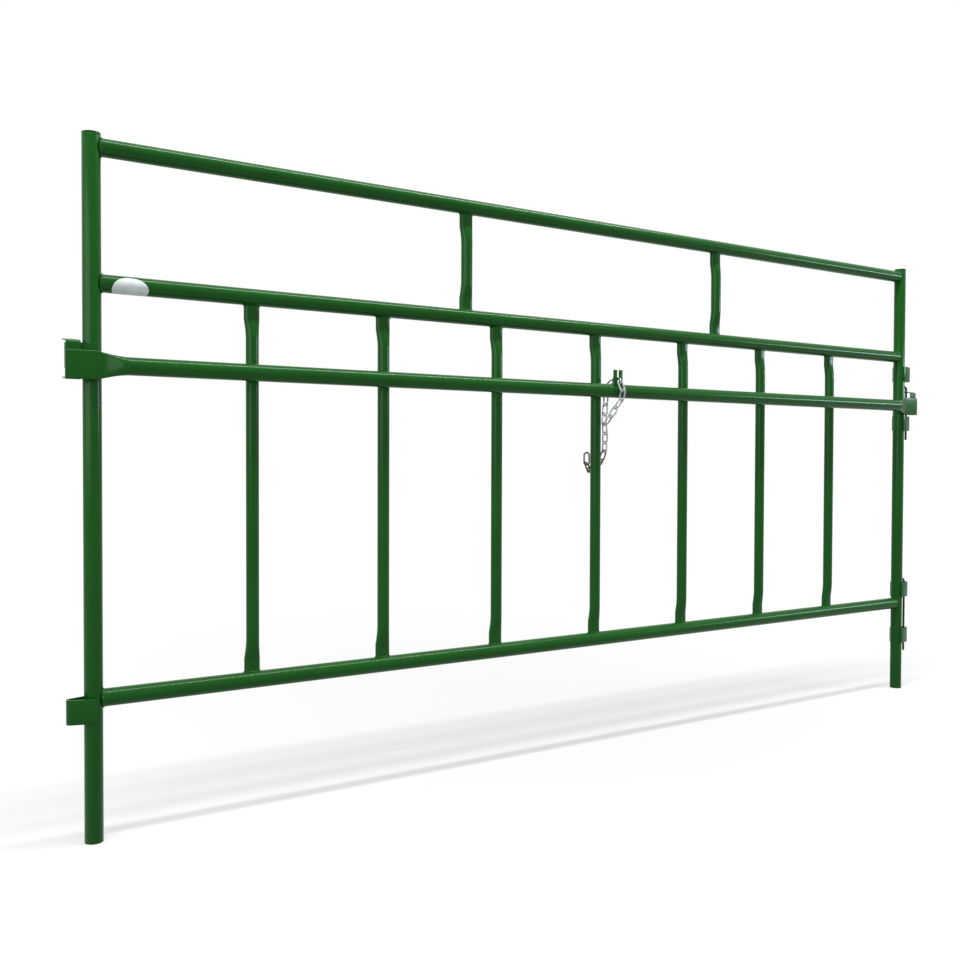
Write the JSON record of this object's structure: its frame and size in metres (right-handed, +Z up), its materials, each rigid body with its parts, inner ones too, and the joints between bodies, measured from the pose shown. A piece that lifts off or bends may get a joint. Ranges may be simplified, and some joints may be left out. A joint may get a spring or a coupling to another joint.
{
  "type": "calf pass livestock panel",
  "caption": "Tubular steel livestock panel with a calf pass, held by a swing-away calf bar, a latch chain and drop pins in end clips.",
  "frame": {"origin": "middle of the left post's foot, at ground level", "axes": "+X along the panel to the right post, +Y to the back, +Z up; the calf bar is on the -Y side"},
  "size_m": [3.084, 0.1296, 1.603],
  "materials": {
    "green_coat": "semi-gloss powder coat",
    "dark_plastic": "matte",
    "zinc_chain": "zinc plated"
  },
  "bodies": {
    "panel": {"anchor_chain": "zinc_chain", "bottom_rail": "green_coat", "divider_1": "green_coat", "divider_2": "green_coat", "divider_3": "green_coat", "divider_4": "green_coat", "divider_5": "green_coat", "divider_6": "green_coat", "divider_7": "green_coat", "left_foot_plug": "dark_plastic", "left_lower_clip": "green_coat", "left_post": "green_coat", "left_top_cap": "dark_plastic", "left_upper_clip": "green_coat", "middle_rail": "green_coat", "right_foot_plug": "dark_plastic", "right_lower_clip_high": "green_coat", "right_lower_clip_low": "green_coat", "right_post": "green_coat", "right_top_cap": "dark_plastic", "right_upper_clip_high": "green_coat", "right_upper_clip_low": "green_coat", "stay_1": "green_coat", "stay_2": "green_coat", "top_rail": "green_coat", "upper_drop_pin": "green_coat"},
    "calf_bar_assembly": {"calf_bar": "green_coat", "calf_bar_left_bracket": "green_coat", "calf_bar_right_bracket": "green_coat", "chain_keeper": "green_coat", "latch_chain": "zinc_chain"},
    "lower_pin": {"lower_drop_pin": "green_coat"}
  },
  "joints": [
    {"name": "calf_bar_swing", "type": "hinge", "parent": "panel", "child": "calf_bar_assembly", "pos_m": [3.002, 0, 1.09], "axis": [0, 0, 1], "range_deg": [0, 100]},
    {"name": "lower_pin_lift", "type": "slide", "parent": "panel", "child": "lower_pin", "axis": [0, 0, 1], "range_m": [0, 0.3]}
  ]
}
